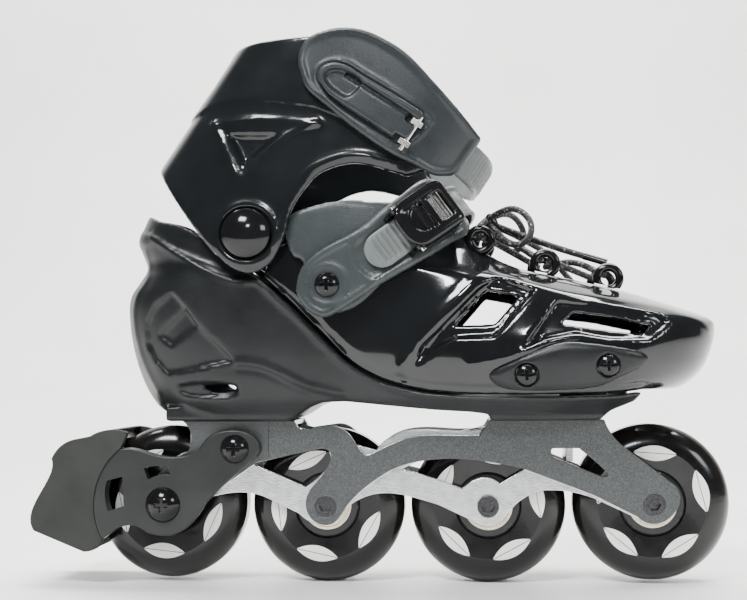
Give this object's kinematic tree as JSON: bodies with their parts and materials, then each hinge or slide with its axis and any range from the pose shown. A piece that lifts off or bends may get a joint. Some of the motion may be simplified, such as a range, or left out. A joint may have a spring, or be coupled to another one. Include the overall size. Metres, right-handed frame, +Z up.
{
  "type": "inline skate",
  "caption": "Right hard-shell inline skate: moulded boot with pivoting cuff, ratchet straps and laces, on an in-line frame with wheels and a heel brake.",
  "frame": {"origin": "on the ground, below the middle of the skate's length and width", "axes": "+X towards the toe, +Y towards the inner (medial) side, +Z up; the wheels run in the plane y = 0"},
  "size_m": [0.3154, 0.1065, 0.2453],
  "materials": {
    "urethane": "glossy black urethane tread ring",
    "core_plastic": "black nylon wheel core",
    "bearing_steel": "ground bearing steel",
    "bolt_steel": "zinc-plated or blackened steel",
    "frame_metal": "extruded aluminium, rails coated dark grey, web machined bright",
    "shell_plastic": "satin black moulded shell",
    "upper_plastic": "polished black moulded shell",
    "cuff_plastic": "black moulded cuff, satin above and polished below",
    "strap_plastic": "satin dark grey strap moulding",
    "ladder_plastic": "grey toothed strap",
    "buckle_plastic": "polished black buckle",
    "lace": "black braided cord with light flecks",
    "brake_plastic": "satin dark grey glass-filled plastic",
    "brake_rubber": "black brake rubber",
    "cap_plastic": "polished black cap",
    "bush_brass": "brass"
  },
  "bodies": {
    "boot_and_frame": {"frame": "frame_metal", "frame_bolts": "bolt_steel", "frame_nut_plates": "bolt_steel", "axle_bolts": "bolt_steel", "bearing_inner_rings": "bearing_steel", "bearing_spacers": "frame_metal", "base_shell": "shell_plastic", "upper_shell": "upper_plastic", "sliders": "shell_plastic", "slider_screws": "bolt_steel", "ankle_flaps": "strap_plastic", "instep_anchor_screws": "bolt_steel", "cuff_pivot_bolts": "bolt_steel", "cuff_pivot_caps": "cap_plastic", "eyelet_rings": "cap_plastic", "lace_crossings": "lace", "lace_knot": "lace", "lace_loop_outer": "lace", "lace_loop_inner": "lace", "lace_tail_outer": "lace", "lace_tail_inner": "lace", "lace_aglets": "cap_plastic", "brake_arm": "brake_plastic", "brake_pad": "brake_rubber", "brake_pad_screw": "bolt_steel", "brake_bolts": "cap_plastic"},
    "wheel_1": {"tyre_1": "urethane", "wheel_core_1": "core_plastic", "bearing_outer_rings_1": "bearing_steel", "bearing_balls_1": "bearing_steel"},
    "wheel_2": {"tyre_2": "urethane", "wheel_core_2": "core_plastic", "bearing_outer_rings_2": "bearing_steel", "bearing_balls_2": "bearing_steel"},
    "wheel_3": {"tyre_3": "urethane", "wheel_core_3": "core_plastic", "bearing_outer_rings_3": "bearing_steel", "bearing_balls_3": "bearing_steel"},
    "wheel_4": {"tyre_4": "urethane", "wheel_core_4": "core_plastic", "bearing_outer_rings_4": "bearing_steel", "bearing_balls_4": "bearing_steel"},
    "cuff_unit": {"cuff": "cuff_plastic", "cuff_bushes": "bush_brass", "cuff_strap": "strap_plastic", "cuff_strap_rivets": "bolt_steel", "cuff_hinge": "bolt_steel", "cuff_ladder": "ladder_plastic", "cuff_ladder_screws": "bolt_steel"},
    "cuff_lever": {"cuff_lever": "strap_plastic"},
    "instep_loop": {"instep_strap": "strap_plastic", "instep_strap_inner": "strap_plastic", "instep_ladder": "ladder_plastic", "instep_ladder_screws": "bolt_steel", "buckle_base": "buckle_plastic", "buckle_pins": "bolt_steel", "buckle_spring": "bolt_steel"},
    "buckle_lever": {"buckle_lever": "buckle_plastic"},
    "buckle_pawl": {"buckle_pawl": "bolt_steel"}
  },
  "joints": [
    {"name": "wheel_1_spin", "type": "hinge", "parent": "boot_and_frame", "child": "wheel_1", "pos_m": [0.1243, 0, 0.0362], "axis": [0, 1, 0], "continuous": true},
    {"name": "wheel_2_spin", "type": "hinge", "parent": "boot_and_frame", "child": "wheel_2", "pos_m": [0.0513, 0, 0.035], "axis": [0, 1, 0], "continuous": true},
    {"name": "wheel_3_spin", "type": "hinge", "parent": "boot_and_frame", "child": "wheel_3", "pos_m": [-0.0217, 0, 0.035], "axis": [0, 1, 0], "continuous": true},
    {"name": "wheel_4_spin", "type": "hinge", "parent": "boot_and_frame", "child": "wheel_4", "pos_m": [-0.0947, 0, 0.0362], "axis": [0, 1, 0], "continuous": true},
    {"name": "cuff_flex", "type": "hinge", "parent": "boot_and_frame", "child": "cuff_unit", "pos_m": [-0.0529, 0, 0.1562], "axis": [0, 1, 0], "range_deg": [-5, 1]},
    {"name": "cuff_lever_hinge", "type": "hinge", "parent": "cuff_unit", "child": "cuff_lever", "pos_m": [0.01971, -0.05075, 0.19769], "axis": [0.5592, 0, 0.829], "range_deg": [0, 100]},
    {"name": "instep_strap_swing", "type": "hinge", "parent": "boot_and_frame", "child": "instep_loop", "pos_m": [-0.0176, 0, 0.1334], "axis": [0, 1, 0], "range_deg": [-2, 0]},
    {"name": "buckle_lever_hinge", "type": "hinge", "parent": "instep_loop", "child": "buckle_lever", "pos_m": [0.01841, -0.04886, 0.15684], "axis": [0.5878, 0, -0.809], "range_deg": [0, 45]},
    {"name": "buckle_pawl_hinge", "type": "hinge", "parent": "instep_loop", "child": "buckle_pawl", "pos_m": [0.03246, -0.04108, 0.16705], "axis": [-0.5878, 0, 0.809], "range_deg": [0, 10], "stiffness_Nm_per_rad": 0.02, "springref_deg": -11.46}
  ]
}
